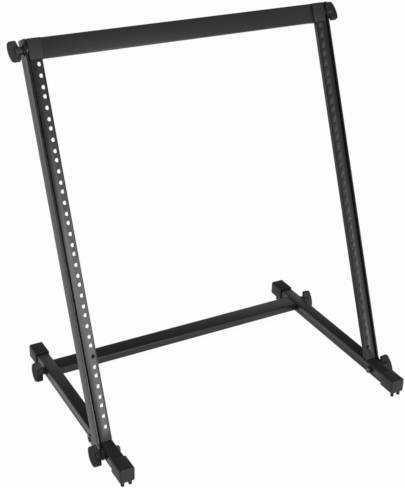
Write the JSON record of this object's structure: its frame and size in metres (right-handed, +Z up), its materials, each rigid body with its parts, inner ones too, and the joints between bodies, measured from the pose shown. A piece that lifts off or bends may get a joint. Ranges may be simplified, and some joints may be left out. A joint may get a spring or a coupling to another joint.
{
  "type": "studio rack stand",
  "caption": "Free-standing leaning rack stand: two floor legs, a rear crossbar and a tilted rail frame for 19 inch equipment, clamped by wing screws.",
  "frame": {"origin": "on the floor, at the centre of the stand's footprint", "axes": "+Z up, +Y to the back, the way the rack frame leans, +X to the right seen from the front"},
  "size_m": [0.541, 0.359, 0.5645],
  "materials": {
    "powder_coat": "satin black powder coat with a fine texture",
    "plastic": "moulded black plastic, fine grain",
    "rubber": "soft black rubber",
    "zinc": "zinc plated steel thread",
    "black_steel": "black zinc plated steel"
  },
  "bodies": {
    "base": {"leg_left": "powder_coat", "leg_right": "powder_coat", "front_cap_left": "plastic", "front_cap_right": "plastic", "rear_cap_left": "plastic", "rear_cap_right": "plastic", "front_cap_left_nub_a": "rubber", "front_cap_left_nub_b": "rubber", "front_cap_right_nub_a": "rubber", "front_cap_right_nub_b": "rubber", "rear_cap_left_nub_a": "rubber", "rear_cap_left_nub_b": "rubber", "rear_cap_right_nub_a": "rubber", "rear_cap_right_nub_b": "rubber", "rear_crossbar": "powder_coat", "rear_insert_left": "zinc", "rear_insert_right": "zinc", "pivot_nut_left": "black_steel", "pivot_nut_right": "black_steel", "ear_washer_left": "black_steel", "ear_washer_right": "black_steel", "stop_pin_left": "black_steel", "stop_pin_right": "black_steel"},
    "rack_frame": {"side_plate_left": "powder_coat", "side_plate_right": "powder_coat", "rack_rail_left": "powder_coat", "rack_rail_right": "powder_coat", "rail_spacer_lower_left": "powder_coat", "rail_spacer_upper_left": "powder_coat", "rail_spacer_lower_right": "powder_coat", "rail_spacer_upper_right": "powder_coat", "top_crossbar": "powder_coat", "end_block_left": "plastic", "end_block_right": "plastic", "top_insert_left": "zinc", "top_insert_right": "zinc", "top_spacer_left": "black_steel", "top_spacer_right": "black_steel"},
    "top_left_washer_set": {"top_left_washer": "black_steel"},
    "top_left_wing_screw": {"top_left_stud": "zinc", "top_left_knob": "plastic"},
    "top_right_washer_set": {"top_right_washer": "black_steel"},
    "top_right_wing_screw": {"top_right_stud": "zinc", "top_right_knob": "plastic"},
    "pivot_left_washer_set": {"pivot_left_washer": "black_steel"},
    "pivot_left_wing_screw": {"pivot_left_stud": "zinc", "pivot_left_knob": "plastic"},
    "pivot_right_washer_set": {"pivot_right_washer": "black_steel"},
    "pivot_right_wing_screw": {"pivot_right_stud": "zinc", "pivot_right_knob": "plastic"},
    "rear_left_washer_set": {"rear_left_washer": "black_steel"},
    "rear_left_wing_screw": {"rear_left_stud": "zinc", "rear_left_knob": "plastic"},
    "rear_right_washer_set": {"rear_right_washer": "black_steel"},
    "rear_right_wing_screw": {"rear_right_stud": "zinc", "rear_right_knob": "plastic"}
  },
  "joints": [
    {"name": "frame_tilt", "type": "hinge", "parent": "base", "child": "rack_frame", "pos_m": [0, -0.1195, 0.01885], "axis": [1, 0, 0], "range_deg": [0, 22.4]},
    {"name": "top_left_back_off", "type": "slide", "parent": "rack_frame", "child": "top_left_washer_set", "axis": [-1, 0, 0], "range_m": [0, 0.002]},
    {"name": "top_left_turn", "type": "hinge", "parent": "top_left_washer_set", "child": "top_left_wing_screw", "pos_m": [-0.25, 0.11456, 0.54658], "axis": [-1, 0, 0], "range_deg": [0, 720]},
    {"name": "top_right_back_off", "type": "slide", "parent": "rack_frame", "child": "top_right_washer_set", "axis": [1, 0, 0], "range_m": [0, 0.002]},
    {"name": "top_right_turn", "type": "hinge", "parent": "top_right_washer_set", "child": "top_right_wing_screw", "pos_m": [0.25, 0.11456, 0.54658], "axis": [1, 0, 0], "range_deg": [0, 720]},
    {"name": "pivot_left_back_off", "type": "slide", "parent": "base", "child": "pivot_left_washer_set", "axis": [-1, 0, 0], "range_m": [0, 0.002]},
    {"name": "pivot_left_turn", "type": "hinge", "parent": "pivot_left_washer_set", "child": "pivot_left_wing_screw", "pos_m": [-0.25, -0.1195, 0.01885], "axis": [-1, 0, 0], "range_deg": [0, 720]},
    {"name": "pivot_right_back_off", "type": "slide", "parent": "base", "child": "pivot_right_washer_set", "axis": [1, 0, 0], "range_m": [0, 0.002]},
    {"name": "pivot_right_turn", "type": "hinge", "parent": "pivot_right_washer_set", "child": "pivot_right_wing_screw", "pos_m": [0.25, -0.1195, 0.01885], "axis": [1, 0, 0], "range_deg": [0, 720]},
    {"name": "rear_left_back_off", "type": "slide", "parent": "base", "child": "rear_left_washer_set", "axis": [-1, 0, 0], "range_m": [0, 0.002]},
    {"name": "rear_left_turn", "type": "hinge", "parent": "rear_left_washer_set", "child": "rear_left_wing_screw", "pos_m": [-0.25, 0.1129, 0.0206], "axis": [-1, 0, 0], "range_deg": [0, 720]},
    {"name": "rear_right_back_off", "type": "slide", "parent": "base", "child": "rear_right_washer_set", "axis": [1, 0, 0], "range_m": [0, 0.002]},
    {"name": "rear_right_turn", "type": "hinge", "parent": "rear_right_washer_set", "child": "rear_right_wing_screw", "pos_m": [0.25, 0.1129, 0.0206], "axis": [1, 0, 0], "range_deg": [0, 720]}
  ],
  "couplings": [
    {"joint": "top_left_turn", "follows": "top_left_back_off", "rad_per_m": 6283.2},
    {"joint": "top_right_turn", "follows": "top_right_back_off", "rad_per_m": 6283.2},
    {"joint": "pivot_left_turn", "follows": "pivot_left_back_off", "rad_per_m": 6283.2},
    {"joint": "pivot_right_turn", "follows": "pivot_right_back_off", "rad_per_m": 6283.2},
    {"joint": "rear_left_turn", "follows": "rear_left_back_off", "rad_per_m": 6283.2},
    {"joint": "rear_right_turn", "follows": "rear_right_back_off", "rad_per_m": 6283.2}
  ]
}
